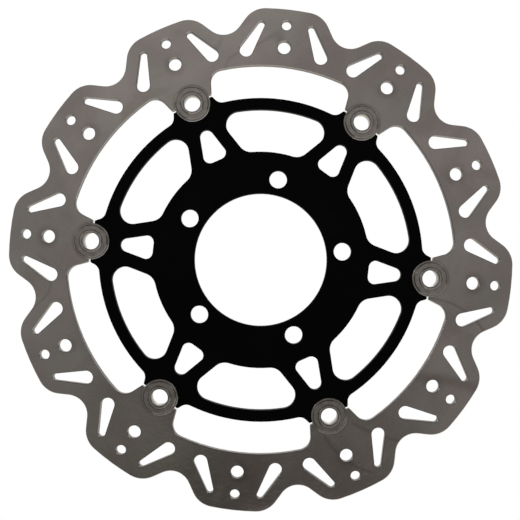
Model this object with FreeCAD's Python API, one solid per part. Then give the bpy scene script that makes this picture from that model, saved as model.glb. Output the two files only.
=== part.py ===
import FreeCAD, Part
import math
import os

# A floating front brake disc for a motorcycle, in millimetres.
#
# A wave-edged stainless ring hangs on an alloy carrier by six hollow bobbins. Each bobbin
# sits half in a tab of the ring and half in an ear of the carrier. A flat washer lies under
# its head, and behind the disc a wave spring, a flat washer and a circlip hold it.
#
# Everything is drawn lying flat, with +Z outboard and Z = 0 on the mounting face that meets
# the wheel hub. save() then stands the piece up: the disc's axis runs along Y, outboard is
# -Y, and +X is the direction that angles are counted from.

OUT_DIR = "parts"

# Levels through the thickness
DISC_T = 5.0
PAD_T = 0.5
BACK_Z = PAD_T
FRONT_Z = BACK_Z + DISC_T
EDGE_BREAK = 0.3

# Ring: the wavy outer edge
OUTER_R = 150.0
LOBES = 12
PITCH_DEG = 360.0 / LOBES
FLANK_DEG = 30.0
LOBE_CORNER_R = 14.5
VALLEY_R = 12.0
VALLEY_CENTRE_R = 147.75

# Ring: the two tapered slots and two round holes of each lobe
SLOT_BIG_R = 4.0
SLOT_BIG_PLACE = (125.4, 10.27)
SLOT_SMALL_R = 2.05
SLOT_SMALL_PLACE = (140.2, 6.16)
INNER_HOLE_R = 3.85
INNER_HOLE_PLACE = (127.2, 0.0)
OUTER_HOLE_R = 2.9
OUTER_HOLE_PLACE = (140.5, 0.0)

# Drive joint between the ring and the carrier
BOBBINS = 6
BOBBIN_STEP_DEG = 360.0 / BOBBINS
BOBBIN_START_DEG = 30.0
BOBBIN_CIRCLE_R = 101.5
SHANK_R = 7.0
HALF_HOLE_R = 7.15
JOINT_GAP = 1.4

# Ring: inner edge and the tabs that reach in to the bobbins
RING_INNER_R = 115.9
TAB_HALF_W = 12.7
TAB_FLARE_DEG = 21.0
TAB_ROOT_R = 7.5
TIP_ROUND_R = 0.9

# Carrier: hub bore, bolt circle and mounting pad
BORE_R = 39.5
BOLT_CIRCLE_R = 49.0
BOLTS = 5
BOLT_START_DEG = -18.0
BOLT_HOLE_R = 5.25
PAD_R = 60.0
BORE_BREAK = 0.5
BOLT_BREAK = 0.4

# Carrier: rim and ears
RIM_R = 96.5
EAR_HALF_W = 12.5
EAR_FLARE_DEG = 22.0
EAR_ROOT_R = 5.5

# Carrier: the large window between two bobbins
WINDOW_INNER_R = 64.5
WINDOW_OUTER_R = 89.6
WINDOW_APEX_X = 46.1
WINDOW_SIDE_DEG = 45.0
WINDOW_INNER_ROUND_R = 8.3
WINDOW_OUTER_ROUND_R = 7.9

# Carrier: the small window inside each bobbin
NOTCH_BASE_X = 64.5
NOTCH_BASE_HALF_W = 8.2
NOTCH_TAPER_DEG = 14.4
NOTCH_END_X = 80.1
NOTCH_BASE_ROUND_R = 4.15

# Bobbin: radii
BOBBIN_BORE_R = 5.0
COLLAR_R = 6.6
HEAD_R = 9.8
GROOVE_R = 6.7
BOBBIN_BREAK = 0.3
HEAD_BREAK = 0.5

# Stack of parts on a bobbin, from the head back
FRONT_WASHER_T = 0.8
HEAD_T = 1.2
COLLAR_T = 0.5
SPRING_H = 1.4
REAR_WASHER_T = 0.8
CIRCLIP_T = 1.0
GROOVE_SLACK = 0.05
TAIL_T = 0.6
HEAD_BACK_Z = FRONT_Z + FRONT_WASHER_T
HEAD_FRONT_Z = HEAD_BACK_Z + HEAD_T
COLLAR_Z = HEAD_FRONT_Z + COLLAR_T
REAR_WASHER_Z = BACK_Z - SPRING_H - REAR_WASHER_T
CIRCLIP_Z = REAR_WASHER_Z - CIRCLIP_T
TAIL_Z = CIRCLIP_Z - TAIL_T

# Washers and spring
WASHER_BORE_R = 7.15
FRONT_WASHER_R = 10.8
REAR_WASHER_R = 10.6
WASHER_BREAK = 0.25
SPRING_BORE_R = 7.35
SPRING_R = 10.4
SPRING_T = 0.35
SPRING_WAVES = 3
SPRING_SLACK = 0.01
SPRING_POINTS = 36

# Circlip: an open ring, thicker opposite its mouth, with two drilled lugs
CLIP_BORE_R = 6.72
CLIP_R = 8.45
CLIP_OFFSET = 0.25
CLIP_MOUTH_DEG = 22.0
LUG_R = 1.75
LUG_PLACE = (8.35, 36.0)
LUG_HOLE_R = 0.85
CLIP_TURN_DEG = 75.0

BEYOND = 1.0
TOUCH = 1e-3


def polar(radius, degrees, z=0.0):
    angle = math.radians(degrees)
    return FreeCAD.Vector(radius * math.cos(angle), radius * math.sin(angle), z)


def turned(shape, degrees):
    copy = shape.copy()
    copy.rotate(FreeCAD.Vector(), FreeCAD.Vector(0, 0, 1), degrees)
    return copy


def line(start, end):
    return Part.LineSegment(start, end).toShape()


def arc(start, middle, end):
    return Part.Arc(start, middle, end).toShape()


def prism(edges, low_z, high_z):
    """Extrude a closed outline drawn at Z = 0."""
    face = Part.Face(Part.Wire(Part.__sortEdges__(edges)))
    face.translate(FreeCAD.Vector(0, 0, low_z))
    return face.extrude(FreeCAD.Vector(0, 0, high_z - low_z))


def cylinder(radius, low_z, high_z, centre=FreeCAD.Vector()):
    base = FreeCAD.Vector(centre.x, centre.y, low_z)
    return Part.makeCylinder(radius, high_z - low_z, base)


def tube(inner_r, outer_r, low_z, high_z):
    return cylinder(outer_r, low_z, high_z).cut(cylinder(inner_r, low_z, high_z))


def through(radius, place):
    """A drill for one hole right through the disc, at (radius, angle)."""
    return cylinder(radius, -BEYOND, FRONT_Z + BEYOND, polar(*place))


def bobbin_angles():
    return [BOBBIN_START_DEG + BOBBIN_STEP_DEG * index for index in range(BOBBINS)]


def uprights(shape, wanted):
    """Edges along Z whose foot passes the test wanted(x, y)."""
    found = []
    for edge in shape.Edges:
        ends = [vertex.Point for vertex in edge.Vertexes]
        if len(ends) != 2 or abs(ends[0].z - ends[1].z) < TOUCH:
            continue
        if math.hypot(ends[0].x - ends[1].x, ends[0].y - ends[1].y) > TOUCH:
            continue
        if wanted(ends[0].x, ends[0].y):
            found.append(edge)
    return found


def at_radius(radius):
    return lambda x, y: abs(math.hypot(x, y) - radius) < TOUCH


def outline_edges(shape, levels):
    """Edges that lie wholly in one of the flat faces at the given levels."""
    found = []
    for edge in shape.Edges:
        box = edge.BoundBox
        if any(abs(box.ZMin - z) < TOUCH and abs(box.ZMax - z) < TOUCH for z in levels):
            found.append(edge)
    return found


def circles(shape, radius, level=None):
    """Full circular edges of one radius, at one level or at any."""
    found = []
    for edge in shape.Edges:
        if not isinstance(edge.Curve, Part.Circle) or len(edge.Vertexes) != 1:
            continue
        if abs(edge.Curve.Radius - radius) > TOUCH:
            continue
        if level is None or abs(edge.Curve.Center.z - level) < TOUCH:
            found.append(edge)
    return found


def wave_outline():
    """Outer edge of the ring: per lobe a land, two corner arcs, two flanks and a valley."""
    half_pitch = PITCH_DEG / 2
    normal_deg = 90.0 - FLANK_DEG
    normal = polar(1.0, normal_deg)
    valley = polar(VALLEY_CENTRE_R, half_pitch)
    flank_distance = valley.dot(normal) - VALLEY_R
    corner_centre_r = OUTER_R - LOBE_CORNER_R
    lean = math.degrees(math.acos((flank_distance - LOBE_CORNER_R) / corner_centre_r))
    land_deg = normal_deg - lean
    corner = polar(corner_centre_r, land_deg)
    mirror_axis = polar(1.0, half_pitch)

    def mirrored(point):
        return mirror_axis * (2 * point.dot(mirror_axis)) - point

    land_end = polar(OUTER_R, land_deg)
    corner_middle = corner + polar(LOBE_CORNER_R, (land_deg + normal_deg) / 2)
    flank_top = corner + normal * LOBE_CORNER_R
    flank_foot = valley - normal * VALLEY_R
    valley_floor = valley - mirror_axis * VALLEY_R
    pitch = [
        arc(polar(OUTER_R, -land_deg), polar(OUTER_R, 0.0), land_end),
        arc(land_end, corner_middle, flank_top),
        line(flank_top, flank_foot),
        arc(flank_foot, valley_floor, mirrored(flank_foot)),
        line(mirrored(flank_foot), mirrored(flank_top)),
        arc(mirrored(flank_top), mirrored(corner_middle), mirrored(land_end)),
    ]
    return [turned(edge, PITCH_DEG * lobe) for lobe in range(LOBES) for edge in pitch]


def tapered_slot(side):
    """One slot of a lobe, the common outline of a large circle and a small one."""
    big = polar(SLOT_BIG_PLACE[0], side * SLOT_BIG_PLACE[1])
    small = polar(SLOT_SMALL_PLACE[0], side * SLOT_SMALL_PLACE[1])
    along = small - big
    taper = math.degrees(math.asin((SLOT_BIG_R - SLOT_SMALL_R) / along.Length))
    heading = math.degrees(math.atan2(along.y, along.x))
    left = polar(1.0, heading + 90.0 - taper)
    right = polar(1.0, heading - 90.0 + taper)
    ahead = polar(1.0, heading)
    edges = [
        line(big + left * SLOT_BIG_R, small + left * SLOT_SMALL_R),
        arc(small + left * SLOT_SMALL_R, small + ahead * SLOT_SMALL_R, small + right * SLOT_SMALL_R),
        line(small + right * SLOT_SMALL_R, big + right * SLOT_BIG_R),
        arc(big + right * SLOT_BIG_R, big - ahead * SLOT_BIG_R, big + left * SLOT_BIG_R),
    ]
    return prism(edges, -BEYOND, FRONT_Z + BEYOND)


def lobe_cutters():
    return [
        tapered_slot(1),
        tapered_slot(-1),
        through(INNER_HOLE_R, INNER_HOLE_PLACE),
        through(OUTER_HOLE_R, OUTER_HOLE_PLACE),
    ]


def tapered_block(near_x, near_half_w, far_x, far_half_w):
    """A straight-sided block across the X axis, as thick as the disc."""
    corners = [
        FreeCAD.Vector(near_x, -near_half_w, 0),
        FreeCAD.Vector(far_x, -far_half_w, 0),
        FreeCAD.Vector(far_x, far_half_w, 0),
        FreeCAD.Vector(near_x, near_half_w, 0),
    ]
    edges = [line(corners[i - 1], corners[i]) for i in range(len(corners))]
    return prism(edges, BACK_Z, FRONT_Z)


def ring_tab():
    """Tab of the ring that reaches in to the straight gap through a bobbin's centre."""
    tip_x = BOBBIN_CIRCLE_R + JOINT_GAP / 2
    root_x = RING_INNER_R + BEYOND
    root_half_w = TAB_HALF_W + (root_x - tip_x) * math.tan(math.radians(TAB_FLARE_DEG))
    return tapered_block(tip_x, TAB_HALF_W, root_x, root_half_w)


def carrier_ear():
    """Ear of the carrier that reaches out to the same gap from the other side."""
    tip_x = BOBBIN_CIRCLE_R - JOINT_GAP / 2
    root_x = WINDOW_OUTER_R
    root_half_w = EAR_HALF_W + (tip_x - root_x) * math.tan(math.radians(EAR_FLARE_DEG))
    return tapered_block(root_x, root_half_w, tip_x, EAR_HALF_W)


def with_lugs(body, lug, tip_x, tip_half_w, root_r, root_round):
    """Join six tabs or ears to a ring, and round their roots and their tips."""
    body = body.multiFuse([turned(lug, angle) for angle in bobbin_angles()]).removeSplitter()
    body = body.makeFillet(root_round, uprights(body, at_radius(root_r)))
    tip_r = math.hypot(tip_x, tip_half_w)
    return body.makeFillet(TIP_ROUND_R, uprights(body, at_radius(tip_r)))


def half_holes():
    return [through(HALF_HOLE_R, (BOBBIN_CIRCLE_R, angle)) for angle in bobbin_angles()]


def friction_ring():
    ring = prism(wave_outline(), BACK_Z, FRONT_Z).cut(cylinder(RING_INNER_R, 0, FRONT_Z + BEYOND))
    tip_x = BOBBIN_CIRCLE_R + JOINT_GAP / 2
    ring = with_lugs(ring, ring_tab(), tip_x, TAB_HALF_W, RING_INNER_R, TAB_ROOT_R)
    cutters = [turned(tool, PITCH_DEG * lobe) for lobe in range(LOBES) for tool in lobe_cutters()]
    ring = ring.cut(cutters)
    ring = ring.makeChamfer(EDGE_BREAK, outline_edges(ring, (BACK_Z, FRONT_Z)))
    return ring.cut(half_holes())


def large_window():
    """Window between two bobbins: two arcs about the disc's axis and two slanting sides."""
    slope = math.tan(math.radians(WINDOW_SIDE_DEG))

    def corner(radius, side):
        a = 1 + slope ** 2
        b = -2 * slope ** 2 * WINDOW_APEX_X
        c = (slope * WINDOW_APEX_X) ** 2 - radius ** 2
        x = (-b + math.sqrt(b ** 2 - 4 * a * c)) / (2 * a)
        return FreeCAD.Vector(x, side * slope * (x - WINDOW_APEX_X), 0)

    edges = [
        arc(corner(WINDOW_INNER_R, -1), polar(WINDOW_INNER_R, 0), corner(WINDOW_INNER_R, 1)),
        line(corner(WINDOW_INNER_R, 1), corner(WINDOW_OUTER_R, 1)),
        arc(corner(WINDOW_OUTER_R, 1), polar(WINDOW_OUTER_R, 0), corner(WINDOW_OUTER_R, -1)),
        line(corner(WINDOW_OUTER_R, -1), corner(WINDOW_INNER_R, -1)),
    ]
    window = prism(edges, -BEYOND, FRONT_Z + BEYOND)
    window = window.makeFillet(WINDOW_INNER_ROUND_R, uprights(window, at_radius(WINDOW_INNER_R)))
    return window.makeFillet(WINDOW_OUTER_ROUND_R, uprights(window, at_radius(WINDOW_OUTER_R)))


def small_window():
    """Window inside a bobbin: a straight base, tapering sides and a round outer end."""
    taper = math.radians(NOTCH_TAPER_DEG)
    end_half_w = NOTCH_BASE_HALF_W - (NOTCH_END_X - NOTCH_BASE_X) * math.tan(taper)
    end_r = end_half_w * math.cos(taper)
    end_x = NOTCH_END_X + end_r * math.sin(taper)
    end_y = end_r * math.cos(taper)
    base = [FreeCAD.Vector(NOTCH_BASE_X, side * NOTCH_BASE_HALF_W, 0) for side in (-1, 1)]
    shoulder = [FreeCAD.Vector(end_x, side * end_y, 0) for side in (-1, 1)]
    edges = [
        line(base[0], base[1]),
        line(base[1], shoulder[1]),
        arc(shoulder[1], FreeCAD.Vector(NOTCH_END_X + end_r, 0, 0), shoulder[0]),
        line(shoulder[0], base[0]),
    ]
    window = prism(edges, -BEYOND, FRONT_Z + BEYOND)
    base_r = math.hypot(NOTCH_BASE_X, NOTCH_BASE_HALF_W)
    return window.makeFillet(NOTCH_BASE_ROUND_R, uprights(window, at_radius(base_r)))


def carrier():
    body = cylinder(RIM_R, BACK_Z, FRONT_Z)
    tip_x = BOBBIN_CIRCLE_R - JOINT_GAP / 2
    body = with_lugs(body, carrier_ear(), tip_x, EAR_HALF_W, RIM_R, EAR_ROOT_R)
    windows = [turned(small_window(), angle) for angle in bobbin_angles()]
    windows += [turned(large_window(), angle - BOBBIN_STEP_DEG / 2) for angle in bobbin_angles()]
    body = body.cut(windows)
    body = body.makeChamfer(EDGE_BREAK, outline_edges(body, (BACK_Z, FRONT_Z)))
    body = body.fuse(cylinder(PAD_R, 0, FRONT_Z)).removeSplitter()
    body = body.cut(cylinder(BORE_R, -BEYOND, FRONT_Z + BEYOND))
    bolt_angles = [BOLT_START_DEG + 360.0 / BOLTS * index for index in range(BOLTS)]
    body = body.cut([through(BOLT_HOLE_R, (BOLT_CIRCLE_R, angle)) for angle in bolt_angles])
    body = body.makeChamfer(BORE_BREAK, circles(body, BORE_R))
    body = body.makeChamfer(BOLT_BREAK, circles(body, BOLT_HOLE_R))
    body = body.makeChamfer(EDGE_BREAK, circles(body, PAD_R, 0.0))
    return body.cut(half_holes())


def bobbin():
    """Hollow rivet-like pin, turned in one piece: collar, head, shank, groove and tail."""
    cut = BOBBIN_BREAK
    profile = [
        (BOBBIN_BORE_R + cut, TAIL_Z),
        (SHANK_R - cut, TAIL_Z),
        (SHANK_R, TAIL_Z + cut),
        (SHANK_R, CIRCLIP_Z - GROOVE_SLACK),
        (GROOVE_R, CIRCLIP_Z - GROOVE_SLACK),
        (GROOVE_R, REAR_WASHER_Z + GROOVE_SLACK),
        (SHANK_R, REAR_WASHER_Z + GROOVE_SLACK),
        (SHANK_R, HEAD_BACK_Z),
        (HEAD_R, HEAD_BACK_Z),
        (HEAD_R, HEAD_FRONT_Z - HEAD_BREAK),
        (HEAD_R - HEAD_BREAK, HEAD_FRONT_Z),
        (COLLAR_R, HEAD_FRONT_Z),
        (COLLAR_R, COLLAR_Z - cut),
        (COLLAR_R - cut, COLLAR_Z),
        (BOBBIN_BORE_R + cut, COLLAR_Z),
        (BOBBIN_BORE_R, COLLAR_Z - cut),
        (BOBBIN_BORE_R, TAIL_Z + cut),
    ]
    points = [FreeCAD.Vector(radius, 0, z) for radius, z in profile]
    outline = Part.makePolygon(points + points[:1])
    return Part.Face(outline).revolve(FreeCAD.Vector(), FreeCAD.Vector(0, 0, 1), 360)


def flat_washer(outer_r, low_z, thickness):
    washer = tube(WASHER_BORE_R, outer_r, low_z, low_z + thickness)
    return washer.makeChamfer(WASHER_BREAK, circles(washer, outer_r))


def wave_curve(radius, lift):
    """Closed curve round the bobbin that rises and falls SPRING_WAVES times."""
    middle_z = BACK_Z - SPRING_H / 2
    swing = (SPRING_H - SPRING_T) / 2 - SPRING_SLACK
    points = []
    for index in range(SPRING_POINTS):
        angle = 360.0 * index / SPRING_POINTS
        wave = swing * math.cos(math.radians(SPRING_WAVES * angle))
        points.append(polar(radius, angle, middle_z + wave + lift))
    curve = Part.BSplineCurve()
    curve.interpolate(Points=points, PeriodicFlag=True)
    return curve.toShape()


def wave_spring():
    inner = [wave_curve(SPRING_BORE_R, side * SPRING_T / 2) for side in (-1, 1)]
    outer = [wave_curve(SPRING_R, side * SPRING_T / 2) for side in (-1, 1)]
    faces = [
        Part.makeRuledSurface(inner[0], outer[0]),
        Part.makeRuledSurface(outer[0], outer[1]),
        Part.makeRuledSurface(outer[1], inner[1]),
        Part.makeRuledSurface(inner[1], inner[0]),
    ]
    shell = Part.makeShell(faces)
    shell.sewShape()
    solid = Part.makeSolid(Part.Shell(shell.Faces))
    if solid.Volume < 0:
        solid.reverse()
    return solid


def circlip():
    """External circlip in the groove, with its mouth on +X."""
    high_z = CIRCLIP_Z + CIRCLIP_T
    clip = cylinder(CLIP_R, CIRCLIP_Z, high_z, FreeCAD.Vector(-CLIP_OFFSET, 0, 0))
    lugs = [polar(LUG_PLACE[0], side * LUG_PLACE[1]) for side in (-1, 1)]
    clip = clip.multiFuse([cylinder(LUG_R, CIRCLIP_Z, high_z, lug) for lug in lugs])
    mouth_ends = [polar(2 * CLIP_R, side * CLIP_MOUTH_DEG) for side in (-1, 1)]
    mouth = [
        line(FreeCAD.Vector(), mouth_ends[0]),
        line(mouth_ends[0], mouth_ends[1]),
        line(mouth_ends[1], FreeCAD.Vector()),
    ]
    tools = [cylinder(LUG_HOLE_R, CIRCLIP_Z, high_z, lug) for lug in lugs]
    tools.append(cylinder(CLIP_BORE_R, CIRCLIP_Z, high_z))
    tools.append(prism(mouth, CIRCLIP_Z, high_z))
    return clip.cut(tools).removeSplitter()


def bobbin_set():
    """The five pieces of one drive joint, round the Z axis."""
    return {
        "bobbin": bobbin(),
        "front_washer": flat_washer(FRONT_WASHER_R, FRONT_Z, FRONT_WASHER_T),
        "wave_spring": wave_spring(),
        "rear_washer": flat_washer(REAR_WASHER_R, REAR_WASHER_Z, REAR_WASHER_T),
        "circlip": circlip(),
    }


def save(name, shape):
    """Stand the piece up and write its STEP file."""
    upright = shape.copy()
    upright.rotate(FreeCAD.Vector(), FreeCAD.Vector(1, 0, 0), 90)
    if not upright.isValid() or upright.Volume <= 0:
        raise ValueError(name + " is not a sound solid")
    upright.exportStep(os.path.join(OUT_DIR, name + ".step"))


def main():
    os.makedirs("parts", exist_ok=True)
    save("rotor", friction_ring())
    save("carrier", carrier())
    pieces = bobbin_set()
    for index, angle in enumerate(bobbin_angles()):
        for name, shape in pieces.items():
            placed = turned(shape, CLIP_TURN_DEG * index)
            placed.translate(polar(BOBBIN_CIRCLE_R, angle))
            save(f"{name}_{index + 1}", placed)


main()
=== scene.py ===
import math

import bpy
from mathutils import Matrix, Vector


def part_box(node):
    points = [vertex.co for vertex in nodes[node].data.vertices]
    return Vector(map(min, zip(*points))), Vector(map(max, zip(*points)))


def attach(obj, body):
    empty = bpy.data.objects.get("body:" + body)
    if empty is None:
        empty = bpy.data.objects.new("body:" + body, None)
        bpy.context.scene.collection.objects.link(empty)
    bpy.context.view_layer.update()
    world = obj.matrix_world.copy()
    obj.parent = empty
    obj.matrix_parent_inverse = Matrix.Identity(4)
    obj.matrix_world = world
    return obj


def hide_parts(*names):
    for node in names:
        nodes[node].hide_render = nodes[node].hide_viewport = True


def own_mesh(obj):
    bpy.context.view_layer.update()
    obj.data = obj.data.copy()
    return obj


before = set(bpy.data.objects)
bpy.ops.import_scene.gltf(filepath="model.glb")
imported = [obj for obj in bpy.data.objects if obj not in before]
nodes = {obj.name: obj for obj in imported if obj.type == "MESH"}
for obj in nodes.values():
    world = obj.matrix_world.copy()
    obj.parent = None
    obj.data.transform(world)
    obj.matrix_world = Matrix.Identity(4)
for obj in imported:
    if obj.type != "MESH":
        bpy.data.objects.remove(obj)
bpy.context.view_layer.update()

# A floating brake disc seen square on from its outboard side. Everything is in metres, in the
# model's own frame: the disc's axis is Y, outboard is -Y, and the wheel's centre is the origin.
# Colours are linear red, green and blue.

scene = bpy.context.scene
BOBBINS = sum(1 for name in nodes if name.startswith("bobbin_"))
FRONT_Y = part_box("rotor")[0].y
OUTER_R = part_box("rotor")[1].x

# ---------------------------------------------------------------- camera

CAMERA_GAP = 0.580
FRAME_SIZE = OUTER_R * 2.064
SENSOR = 36.0
NEAREST, FARTHEST = 0.01, 50.0
ROLL = math.radians(23.68)
OUTBOARD = Vector((0, -1, 0))
PICTURE_RIGHT = Vector((math.cos(ROLL), 0, -math.sin(ROLL)))
PICTURE_UP = Vector((math.sin(ROLL), 0, math.cos(ROLL)))
OFF_AXIS = PICTURE_RIGHT * -0.00042 + PICTURE_UP * -0.00008


def add_camera():
    """Almost on the disc's axis, rolled so that the disc's +X lobe points up and to the right."""
    data = bpy.data.cameras.new("camera")
    data.sensor_width = SENSOR
    data.lens = SENSOR * CAMERA_GAP / FRAME_SIZE
    data.clip_start = NEAREST
    data.clip_end = FARTHEST
    camera = bpy.data.objects.new("camera", data)
    scene.collection.objects.link(camera)
    turn = Matrix((PICTURE_RIGHT, PICTURE_UP, OUTBOARD)).transposed().to_4x4()
    place = Vector((0, FRONT_Y - CAMERA_GAP, 0)) + OFF_AXIS
    camera.matrix_world = Matrix.Translation(place) @ turn
    scene.camera = camera


# ---------------------------------------------------------------- node building

class Graph:
    """A small helper for building a material's or the world's nodes."""

    def __init__(self, tree):
        self.tree = tree
        self.tree.nodes.clear()

    def node(self, kind, **settings):
        made = self.tree.nodes.new(kind)
        for name, value in settings.items():
            setattr(made, name, value)
        return made

    def feed(self, socket, value):
        """Link another node's socket to this one, or set it to a plain value."""
        if isinstance(value, bpy.types.NodeSocket):
            self.tree.links.new(value, socket)
        else:
            socket.default_value = value

    def math(self, operation, *values):
        made = self.node("ShaderNodeMath", operation=operation)
        for socket, value in zip(made.inputs, values):
            self.feed(socket, value)
        return made.outputs[0]

    def plus(self, first, second):
        return self.math("ADD", first, second)

    def minus(self, first, second):
        return self.math("SUBTRACT", first, second)

    def times(self, first, second):
        return self.math("MULTIPLY", first, second)

    def ramp(self, value, low, high, to_low=0.0, to_high=1.0):
        """to_low up to low and to_high from high on, with a smooth step between them."""
        made = self.node("ShaderNodeMapRange", interpolation_type="SMOOTHSTEP")
        ends = {"From Min": low, "From Max": high, "To Min": to_low, "To Max": to_high}
        for name, number in ends.items():
            made.inputs[name].default_value = number
        self.feed(made.inputs["Value"], value)
        return made.outputs["Result"]

    def line(self, value, place, width):
        """1 where value is at place, falling to 0 at width away from it."""
        away = self.math("ABSOLUTE", self.minus(value, place))
        return self.ramp(away, 0.0, width, 1.0, 0.0)

    def hypotenuse(self, first, second):
        squares = self.plus(self.times(first, first), self.times(second, second))
        return self.math("SQRT", squares)

    def join(self, x, y, z):
        made = self.node("ShaderNodeCombineXYZ")
        for socket, value in zip(made.inputs, (x, y, z)):
            self.feed(socket, value)
        return made.outputs[0]

    def split(self, vector):
        made = self.node("ShaderNodeSeparateXYZ")
        self.feed(made.inputs[0], vector)
        return made.outputs

    def dot(self, vector, fixed):
        made = self.node("ShaderNodeVectorMath", operation="DOT_PRODUCT")
        self.feed(made.inputs[0], vector)
        made.inputs[1].default_value = fixed
        return made.outputs["Value"]

    def noise(self, vector, scale, detail=3.0, roughness=0.55, distortion=0.0):
        made = self.node("ShaderNodeTexNoise")
        self.feed(made.inputs["Vector"], vector)
        made.inputs["Scale"].default_value = scale
        made.inputs["Detail"].default_value = detail
        made.inputs["Roughness"].default_value = roughness
        made.inputs["Distortion"].default_value = distortion
        return made.outputs["Fac"]

    def mix(self, factor, first, second):
        """A blend of two colours: inputs 6 and 7 are a mix node's colour sockets."""
        made = self.node("ShaderNodeMix", data_type="RGBA")
        self.feed(made.inputs["Factor"], factor)
        self.feed(made.inputs[6], first)
        self.feed(made.inputs[7], second)
        return made.outputs[2]

    def bump(self, height, distance, strength=1.0):
        made = self.node("ShaderNodeBump")
        made.inputs["Strength"].default_value = strength
        made.inputs["Distance"].default_value = distance
        self.feed(made.inputs["Height"], height)
        return made.outputs[0]


def surface(name):
    """A new material, its graph, its shader and its object-space position and normal."""
    material = bpy.data.materials.new(name)
    material.use_nodes = True
    graph = Graph(material.node_tree)
    shader = graph.node("ShaderNodeBsdfPrincipled")
    output = graph.node("ShaderNodeOutputMaterial")
    graph.tree.links.new(shader.outputs[0], output.inputs[0])
    where = graph.node("ShaderNodeTexCoord")
    return material, graph, shader, where.outputs["Object"], where.outputs["Normal"]


def rgb(red, green, blue):
    return (red, green, blue, 1.0)


def polar_about_axis(graph, position):
    """Radius and angle about the disc's axis."""
    x, _, z = graph.split(position)
    return graph.hypotenuse(x, z), graph.math("ARCTAN2", z, x)


def polar_about_nearest(graph, position, count, start, out):
    """Radius and angle about the nearest of count equal places on a circle, and its number."""
    step = 2 * math.pi / count
    radius, angle = polar_about_axis(graph, position)
    number = graph.math("ROUND", graph.math("DIVIDE", graph.minus(angle, start), step))
    folded = graph.minus(angle, graph.plus(start, graph.times(number, step)))
    outward = graph.minus(graph.times(radius, graph.math("COSINE", folded)), out)
    across = graph.times(radius, graph.math("SINE", folded))
    return graph.hypotenuse(outward, across), graph.math("ARCTAN2", across, outward), number


def polar_about_bobbin(graph, position):
    """Radius and angle about the axis of the nearest bobbin, and that bobbin's number."""
    low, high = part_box("bobbin_1")
    centre = (low + high) / 2
    start = math.atan2(centre.z, centre.x)
    return polar_about_nearest(graph, position, BOBBINS, start, math.hypot(centre.x, centre.z))


# ---------------------------------------------------------------- the ring's steel

LOBES = 12
HOLE_CIRCLE_R = 0.1272
HOLE_STAIN_FROM, HOLE_STAIN_TO = 0.0040, 0.0085

# Each pair of colours is the olive and the pink end of the steel's slight change of hue.
DIM_STEEL = ((0.352, 0.330, 0.305), (0.366, 0.327, 0.316))
BRIGHT_STEEL = ((0.464, 0.437, 0.403), (0.482, 0.431, 0.417))
PINK_SIDE = (0.78, 0.0, -0.63)
PINK_LEAN = 0.40

BROWN = (0.310, 0.250, 0.225)
STAIN_AND_STREAK = (0.215, 0.175, 0.155)
VEIN = (0.20, 0.18, 0.165)
SCRATCH = (0.60, 0.58, 0.55)
# The next colour is partly a rub mark and partly painted shade, in the crease round each washer.
RUB_AND_SHADE = (0.24, 0.20, 0.18)
CUT_WALL = ((0.20, 0.185, 0.17), (0.30, 0.285, 0.265))

BROWN_SHARE = 0.40
HOLE_STAIN_SHARE = 0.45
VEIN_SHARE = 0.30
SCRATCH_SHARE = 0.6
RUB_AND_SHADE_SHARE = 0.35
RUB_AND_SHADE_R, RUB_AND_SHADE_HALF_W = 0.0112, 0.0012
GRIND_DEPTH = 0.00001

# Dark streaks on the ring. Each runs outward from one place to another, given by radius and by
# angle in degrees about the disc's axis, and bows to one side by its bend. Its half-width and
# its strength follow.
DARK_STREAKS = (
    ((0.100, -37), (0.141, -42), 0.006, 0.0014, 0.50),
    ((0.110, -63), (0.158, -54), 0.003, 0.0055, 0.45),
    ((0.109, -94), (0.145, -85), -0.005, 0.0014, 0.50),
    ((0.109, -85), (0.139, -75), -0.002, 0.0015, 0.45),
)
STREAK_FULL_PART = 0.8


def on_ring(radius, degrees):
    """A place on the ring as (x, z)."""
    angle = math.radians(degrees)
    return Vector((radius * math.cos(angle), radius * math.sin(angle)))


def dark_streak(graph, position, inner, outer, bend, half_width, strength):
    """How much of a dark streak lies here: full along the middle of its arc, none at its edges and ends.
    """
    start, end = on_ring(*inner), on_ring(*outer)
    half_chord = (end - start).length / 2
    radius = (half_chord ** 2 + bend ** 2) / (2 * abs(bend))
    side = Vector((start.y - end.y, end.x - start.x)).normalized() * math.copysign(1, bend)
    centre = (start + end) / 2 - side * (radius - abs(bend))
    middle = math.atan2(side.y, side.x)
    half = math.asin(half_chord / radius)
    x, _, z = graph.split(position)
    off_x = graph.minus(x, centre.x)
    off_z = graph.minus(z, centre.y)
    aside = graph.math("ABSOLUTE", graph.minus(graph.math("ARCTAN2", off_z, off_x), middle))
    along = graph.ramp(aside, half * STREAK_FULL_PART, half, strength, 0.0)
    return graph.times(graph.line(graph.hypotenuse(off_x, off_z), radius, half_width), along)


def grinding(graph, position):
    """Fine scratches: arcs about the disc's axis, crossed by others on a slow spiral."""
    radius, angle = polar_about_axis(graph, position)
    arcs = graph.join(graph.times(radius, 2600.0), graph.times(angle, 14.0), 0.0)
    lines = graph.noise(arcs, scale=1.0, detail=4.0, roughness=0.65)
    swirl = graph.plus(angle, graph.times(radius, 9.0))
    crossed = graph.join(graph.times(swirl, 420.0), graph.times(radius, 60.0), 3.7)
    cross = graph.noise(crossed, scale=1.0, detail=3.0, roughness=0.6)
    return graph.plus(graph.times(lines, 0.6), graph.times(cross, 0.4))


def steel_tone(graph, position):
    """Clean ground steel: soft clouds of light and dark whose hue leans to pink on one side."""
    cloud = graph.noise(position, scale=19.0, detail=4.0, roughness=0.55, distortion=0.5)
    lean = graph.times(graph.dot(position, PINK_SIDE), PINK_LEAN)
    tint = graph.plus(graph.noise(position, scale=25.0, detail=2.0, roughness=0.5), lean)
    tint = graph.ramp(tint, 0.40, 0.60)
    dim, bright = (graph.mix(tint, rgb(*olive), rgb(*pink)) for olive, pink in (DIM_STEEL, BRIGHT_STEEL))
    return graph.mix(graph.ramp(cloud, 0.30, 0.70), dim, bright)


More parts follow.
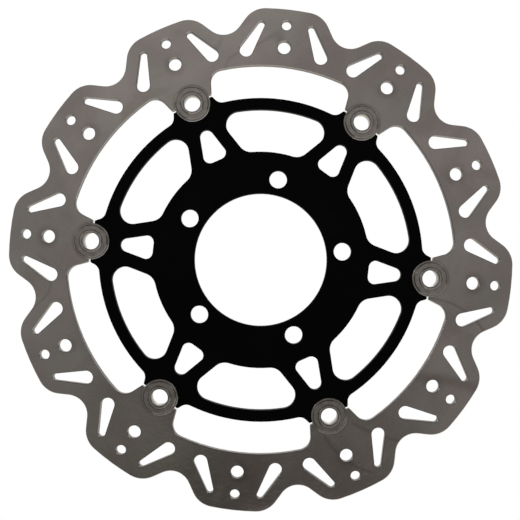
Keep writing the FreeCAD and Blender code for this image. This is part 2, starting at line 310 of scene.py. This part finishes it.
def stains_and_streaks(graph, position, tone):
    """Darker marks: stains round some of the inner holes, the dark streaks, and thin veins."""
    hole_reach, _, _ = polar_about_nearest(graph, position, LOBES, 0.0, HOLE_CIRCLE_R)
    around = graph.ramp(hole_reach, HOLE_STAIN_FROM, HOLE_STAIN_TO, 1.0, 0.0)
    some = graph.ramp(graph.noise(position, scale=31.0, detail=2.0), 0.47, 0.60)
    tone = graph.mix(graph.times(graph.times(around, some), HOLE_STAIN_SHARE), tone, rgb(*STAIN_AND_STREAK))
    for place in DARK_STREAKS:
        tone = graph.mix(dark_streak(graph, position, *place), tone, rgb(*STAIN_AND_STREAK))
    level = graph.noise(position, scale=13.0, detail=1.0, distortion=0.6)
    veins = graph.line(level, 0.50, 0.011)
    patches = graph.ramp(graph.noise(position, scale=21.0, detail=0.0), 0.52, 0.62)
    return graph.mix(graph.times(graph.times(veins, patches), VEIN_SHARE), tone, rgb(*VEIN))


def ground_stainless():
    """Ring: ground faces with brown patches, stains and streaks, a rub mark and painted shade round each
    washer, and plain cut walls.
    """
    material, graph, shader, position, normal = surface("ground_stainless")
    along = graph.math("ABSOLUTE", graph.split(normal)[1])
    face = graph.ramp(along, 0.80, 0.97)
    wall = graph.ramp(along, 0.55, 0.88, 1.0, 0.0)
    marks = grinding(graph, position)

    tone = steel_tone(graph, position)
    brown = graph.noise(position, scale=38.0, detail=3.0, roughness=0.5, distortion=1.1)
    brown = graph.ramp(brown, 0.54, 0.72)
    tone = graph.mix(graph.times(brown, BROWN_SHARE), tone, rgb(*BROWN))
    tone = stains_and_streaks(graph, position, tone)
    tone = graph.mix(graph.times(graph.minus(marks, 0.5), SCRATCH_SHARE), tone, rgb(*SCRATCH))
    # A dark line round each washer: partly a rub mark, partly painted shade in the crease.
    reach, _, _ = polar_about_bobbin(graph, position)
    tone = graph.mix(graph.times(graph.line(reach, RUB_AND_SHADE_R, RUB_AND_SHADE_HALF_W), RUB_AND_SHADE_SHARE), tone, rgb(*RUB_AND_SHADE))
    cut = graph.mix(graph.noise(position, scale=900.0, detail=2.0), *(rgb(*shade) for shade in CUT_WALL))
    graph.feed(shader.inputs["Base Color"], graph.mix(wall, tone, cut))

    rough = graph.plus(graph.ramp(marks, 0.3, 0.7, 0.20, 0.28), graph.times(brown, 0.06))
    graph.feed(shader.inputs["Roughness"], rough)
    shader.inputs["Metallic"].default_value = 1.0
    fine = graph.times(marks, face)
    coarse = graph.times(graph.noise(position, scale=2200.0, detail=2.0), wall)
    graph.feed(shader.inputs["Normal"], graph.bump(graph.plus(fine, coarse), GRIND_DEPTH))
    return material


# ---------------------------------------------------------------- the carrier's black finish

ANODISED = (0.0005, 0.0005, 0.0006)
DUST = (0.0018, 0.0018, 0.0019)
ANODISED_SPECULAR = 0.045
BLAST_DEPTH = 0.000012


def black_anodised():
    """Carrier: deep black with a fine bead-blasted grain and a few dusty patches."""
    material, graph, shader, position, _ = surface("black_anodised")
    grain = graph.noise(position, scale=2600.0, detail=2.0, roughness=0.6)
    dust = graph.ramp(graph.noise(position, scale=34.0, detail=5.0, roughness=0.6), 0.50, 0.78)
    tone = graph.mix(graph.times(dust, 0.5), rgb(*ANODISED), rgb(*DUST))
    graph.feed(shader.inputs["Base Color"], tone)
    graph.feed(shader.inputs["Roughness"], graph.ramp(dust, 0.0, 1.0, 0.40, 0.50))
    shader.inputs["Specular IOR Level"].default_value = ANODISED_SPECULAR
    graph.feed(shader.inputs["Normal"], graph.bump(grain, BLAST_DEPTH, strength=0.7))
    return material


# ---------------------------------------------------------------- small steel parts

ROUGH_SPREAD = 0.10


def turned_metal(name, dark, light, rough, groove_depth):
    """Lathe-turned or stamped steel: rings about the bobbin's own axis and a mottled finish."""
    material, graph, shader, position, _ = surface(name)
    reach, round_it, number = polar_about_bobbin(graph, position)
    groove = graph.join(graph.times(reach, 5200.0), graph.times(round_it, 1.2), number)
    rings = graph.noise(groove, scale=1.0, detail=3.0, roughness=0.6)
    mottle = graph.noise(position, scale=260.0, detail=4.0, roughness=0.6)
    blend = graph.plus(graph.times(rings, 0.5), graph.times(mottle, 0.5))
    tone = graph.mix(graph.ramp(blend, 0.35, 0.65), rgb(*dark), rgb(*light))
    graph.feed(shader.inputs["Base Color"], tone)
    graph.feed(shader.inputs["Roughness"], graph.ramp(blend, 0.3, 0.7, rough, rough + ROUGH_SPREAD))
    shader.inputs["Metallic"].default_value = 1.0
    graph.feed(shader.inputs["Normal"], graph.bump(rings, groove_depth))
    return material, graph, shader, tone, reach, position


COLLAR_R = 0.0066
BORE_R = 0.0050
HEAD_FACE_DEPTH = (0.0020, 0.0026)
BORE_GLOW_DEPTH = (0.0015, 0.0085)
PLATING = ((0.29, 0.262, 0.240), (0.41, 0.380, 0.350))
# The next four colours are painted light and shade: a highlight on the collar, shade in the creases,
# shade at the bore's mouth and light deep in the bore.
COLLAR_HIGHLIGHT = (0.56, 0.54, 0.51)
CREASE_SHADE = (0.055, 0.047, 0.040)
BORE_MOUTH_SHADE = (0.14, 0.13, 0.12)
BORE_DEEP_LIGHT = (0.90, 0.87, 0.80)
FOOT_SHARE = 0.75
CREASE_SHADE_SHARE = 0.65


def bobbin_plated():
    """Bobbin: a painted highlight on the collar's rim, and painted shade at the collar's foot,
    round the bore's lip and under the head's rim. The bore has painted shade at its mouth and
    painted light further in, brightening with depth."""
    low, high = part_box("bobbin_1")
    head_r = (high.x - low.x) / 2
    made = turned_metal("bobbin_plated", *PLATING, 0.24, 0.00002)
    material, graph, shader, tone, reach, position = made
    depth = graph.minus(graph.split(position)[1], low.y)
    front = graph.ramp(depth, *HEAD_FACE_DEPTH, 1.0, 0.0)
    # Painted highlight: the front of the collar is lighter towards its rim.
    collar_highlight = graph.ramp(reach, COLLAR_R - 0.0006, COLLAR_R - 0.0001, 0.45, 0.0)
    tone = graph.mix(graph.times(collar_highlight, front), tone, rgb(*COLLAR_HIGHLIGHT))

    # Painted shade: dark lines at the collar's foot, round the bore's lip and under the head's rim.
    foot = graph.times(graph.line(reach, COLLAR_R + 0.0002, 0.0005), FOOT_SHARE)
    lip = graph.line(reach, BORE_R + 0.0002, 0.0006)
    rim = graph.line(reach, head_r, 0.0007)
    crease_lines = graph.math("MAXIMUM", graph.math("MAXIMUM", foot, lip), rim)
    tone = graph.mix(graph.times(graph.times(crease_lines, front), CREASE_SHADE_SHARE), tone, rgb(*CREASE_SHADE))

    # Painted shade in the bore's mouth, and painted light deeper in the bore.
    bore = graph.ramp(reach, BORE_R + 0.0001, BORE_R + 0.0003, 1.0, 0.0)
    tone = graph.mix(bore, tone, rgb(*BORE_MOUTH_SHADE))
    deep = graph.times(bore, graph.ramp(depth, *BORE_GLOW_DEPTH))
    graph.feed(shader.inputs["Base Color"], graph.mix(deep, tone, rgb(*BORE_DEEP_LIGHT)))
    return material


# Dark and light colour, roughness and depth of the turning marks of each small part.
WASHER_STEEL = ((0.31, 0.29, 0.265), (0.43, 0.405, 0.375), 0.26, 0.00001)
SMALL_PARTS = {
    "front_washer": WASHER_STEEL,
    "rear_washer": WASHER_STEEL,
    "wave_spring": ((0.20, 0.19, 0.18), (0.32, 0.31, 0.30), 0.28, 0.00001),
    "circlip": ((0.06, 0.055, 0.05), (0.12, 0.11, 0.10), 0.36, 0.00001),
}


def dress():
    """Give every piece its finish, and return the finishes by kind of piece."""
    finishes = {
        "rotor": ground_stainless(),
        "carrier": black_anodised(),
        "bobbin": bobbin_plated(),
    }
    for kind, look in SMALL_PARTS.items():
        finishes[kind] = turned_metal(f"{kind}_steel", *look)[0]
    for name, piece in nodes.items():
        kind = name.rstrip("0123456789").rstrip("_")
        piece.data.materials.clear()
        piece.data.materials.append(finishes[kind])
    return finishes


# ---------------------------------------------------------------- wave springs

WAVES = 3
LEAF_WIDTH = 0.00305
LEAF_T = 0.00035
LEAF_ROUND = 0.00008
LEAF_STEPS = 120
TURN_DEG = 75.0
SHARP_DEG = 40


def leaf_section():
    """The strip's rounded cross-section, as (outward, through) offsets from its middle."""
    half_w, half_t, cut = LEAF_WIDTH / 2, LEAF_T / 2, LEAF_ROUND
    quarter = [(half_w, half_t - cut), (half_w - cut, half_t)]
    half = quarter + [(-x, y) for x, y in reversed(quarter)]
    return half + [(x, -y) for x, y in reversed(half)]


def leaf_points(number, section):
    """The section carried once round the bobbin, rising and falling along the axis."""
    low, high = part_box(f"wave_spring_{number}")
    centre = (low + high) / 2
    middle_r = (high.x - low.x) / 2 - LEAF_WIDTH / 2
    swing = (high.y - low.y - LEAF_T) / 2
    turn = math.radians(TURN_DEG) * (number - 1)
    points = []
    for step in range(LEAF_STEPS):
        angle = 2 * math.pi * step / LEAF_STEPS
        wave = centre.y - swing * math.cos(WAVES * (angle - turn))
        for outward, through in section:
            radius = middle_r + outward
            x = centre.x + radius * math.cos(angle)
            z = centre.z + radius * math.sin(angle)
            points.append((x, wave + through, z))
    return points


def leaf_faces(count):
    """Quads between each section of count points and the next, closing on the first."""
    faces = []
    for step in range(LEAF_STEPS):
        here, there = step * count, (step + 1) % LEAF_STEPS * count
        for i in range(count):
            j = (i + 1) % count
            faces.append((here + i, here + j, there + j, there + i))
    return faces


def add_wave_spring(number, finish):
    """A wavy ring in place of the CAD one."""
    section = leaf_section()
    faces = leaf_faces(len(section))
    mesh = bpy.data.meshes.new(f"wave_leaf_{number}")
    mesh.from_pydata(leaf_points(number, section), [], faces)
    mesh.polygons.foreach_set("use_smooth", [True] * len(faces))
    mesh.set_sharp_from_angle(angle=math.radians(SHARP_DEG))
    mesh.materials.append(finish)
    leaf = bpy.data.objects.new(f"wave_leaf_{number}", mesh)
    scene.collection.objects.link(leaf)
    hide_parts(f"wave_spring_{number}")
    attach(leaf, "wave_springs")
    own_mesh(leaf)


# ---------------------------------------------------------------- floor and light

FLOOR_Z = -1.0
FLOOR_R = 1.3
FLOOR_SIDES = 96
FLOOR_TONES = ((0.80, 0.80, 0.79), (0.84, 0.84, 0.83))
FLOOR_FADE_FROM = 0.3


def add_floor():
    """A pale sheet under the disc that fades into the white paper at its edge."""
    bpy.ops.mesh.primitive_circle_add(
        vertices=FLOOR_SIDES, radius=FLOOR_R, fill_type="NGON", location=(0, 0, FLOOR_Z))
    floor = bpy.context.object
    floor.name = "floor"
    material, graph, shader, position, _ = surface("pale_floor")
    tone = graph.mix(graph.noise(position, scale=3.0), *(rgb(*shade) for shade in FLOOR_TONES))
    graph.feed(shader.inputs["Base Color"], tone)
    shader.inputs["Roughness"].default_value = 0.8
    shader.inputs["Emission Color"].default_value = rgb(1.0, 1.0, 1.0)
    x, y, _ = graph.split(position)
    glow = graph.ramp(graph.hypotenuse(x, y), FLOOR_FADE_FROM, FLOOR_R, 0.50, 0.80)
    graph.feed(shader.inputs["Emission Strength"], glow)
    floor.data.materials.append(material)


# Name, place, width, power in watts and colour of each soft light.
LIGHTS = (
    ("key_light", (-0.9, -0.9, 1.1), 0.9, 9.0, (1.0, 0.98, 0.95)),
    ("fill_light", (1.2, -0.7, 0.3), 1.0, 3.0, (0.95, 0.97, 1.0)),
    ("back_light", (0.6, 1.3, 0.9), 1.0, 9.0, (1.0, 0.98, 0.96)),
)


def add_softbox(name, place, size, power, colour):
    """A round soft light that faces the disc's centre."""
    data = bpy.data.lights.new(name, "AREA")
    data.shape = "DISK"
    data.size = size
    data.energy = power
    data.color = colour
    lamp = bpy.data.objects.new(name, data)
    scene.collection.objects.link(lamp)
    lamp.location = place
    lamp.rotation_mode = "QUATERNION"
    lamp.rotation_quaternion = (-Vector(place)).to_track_quat("-Z", "Y")


# The light tent, seen from the disc: places are (run, rise) in the picture's axes, as parts of
# a direction of length one, and the rest are levels of light or where a change begins and ends.
SHADE_PLACE = (-0.020, -0.335)
SHADE_SPAN = (0.065, 0.33)
GLOW_PLACE = (-0.11, 0.27)
GLOW_REACH = 0.20
GLOW_LEVEL = 0.26
FRONT_RISE = (-0.10, 0.30)
FRONT_LEVELS = (0.275, 0.36)
RIGHT_RUN = (0.05, 0.25)
RIGHT_GAIN = 1.10
FRONT_SPAN = (0.22, 0.60)
BACK_SPAN = (-0.20, 0.12)
BACK_LEVEL, SIDE_LEVEL = 0.52, 0.02
SHADE_COLOUR = (1.0, 0.94, 0.72)
TENT_COLOUR = (1.0, 0.972, 0.95)


def distance_from(graph, run, rise, place):
    """How far a direction, seen in the picture's axes, lies from a place among them."""
    return graph.hypotenuse(graph.minus(run, place[0]), graph.minus(rise, place[1]))


def tent_level(graph, direction, shade):
    """How bright the tent is: a grey front with a glow in it, dim sides and a bright back."""
    rise = graph.dot(direction, PICTURE_UP)
    run = graph.dot(direction, PICTURE_RIGHT)
    ahead = graph.dot(direction, OUTBOARD)
    front = graph.times(shade, graph.ramp(rise, *FRONT_RISE, *FRONT_LEVELS))
    front = graph.times(front, graph.ramp(run, *RIGHT_RUN, 1.0, RIGHT_GAIN))
    away = distance_from(graph, run, rise, GLOW_PLACE)
    front = graph.plus(front, graph.ramp(away, 0.0, GLOW_REACH, GLOW_LEVEL, 0.0))
    level = graph.times(front, graph.ramp(ahead, *FRONT_SPAN))
    return graph.plus(level, graph.ramp(ahead, *BACK_SPAN, BACK_LEVEL, SIDE_LEVEL))


def add_world():
    """White to the camera. To the metal it is a light tent: a grey front with a dark patch low
    down and a bright one at the upper left, a dim band round its sides and a bright back."""
    world = bpy.data.worlds.new("studio")
    scene.world = world
    world.use_nodes = True
    graph = Graph(world.node_tree)
    direction = graph.node("ShaderNodeTexCoord").outputs["Generated"]
    rise = graph.dot(direction, PICTURE_UP)
    run = graph.dot(direction, PICTURE_RIGHT)
    shade = graph.ramp(distance_from(graph, run, rise, SHADE_PLACE), *SHADE_SPAN)
    room = graph.node("ShaderNodeBackground")
    graph.feed(room.inputs["Color"], graph.mix(shade, rgb(*SHADE_COLOUR), rgb(*TENT_COLOUR)))
    graph.feed(room.inputs["Strength"], tent_level(graph, direction, shade))
    paper = graph.node("ShaderNodeBackground")
    paper.inputs["Color"].default_value = rgb(1.0, 1.0, 1.0)
    seen = graph.node("ShaderNodeLightPath").outputs["Is Camera Ray"]
    choice = graph.node("ShaderNodeMixShader")
    graph.feed(choice.inputs[0], seen)
    graph.tree.links.new(room.outputs[0], choice.inputs[1])
    graph.tree.links.new(paper.outputs[0], choice.inputs[2])
    output = graph.node("ShaderNodeOutputWorld")
    graph.tree.links.new(choice.outputs[0], output.inputs[0])


scene.view_settings.view_transform = "Standard"
scene.view_settings.look = "None"
add_camera()
add_floor()
add_world()
for light in LIGHTS:
    add_softbox(*light)
finishes = dress()
for number in range(1, BOBBINS + 1):
    add_wave_spring(number, finishes["wave_spring"])
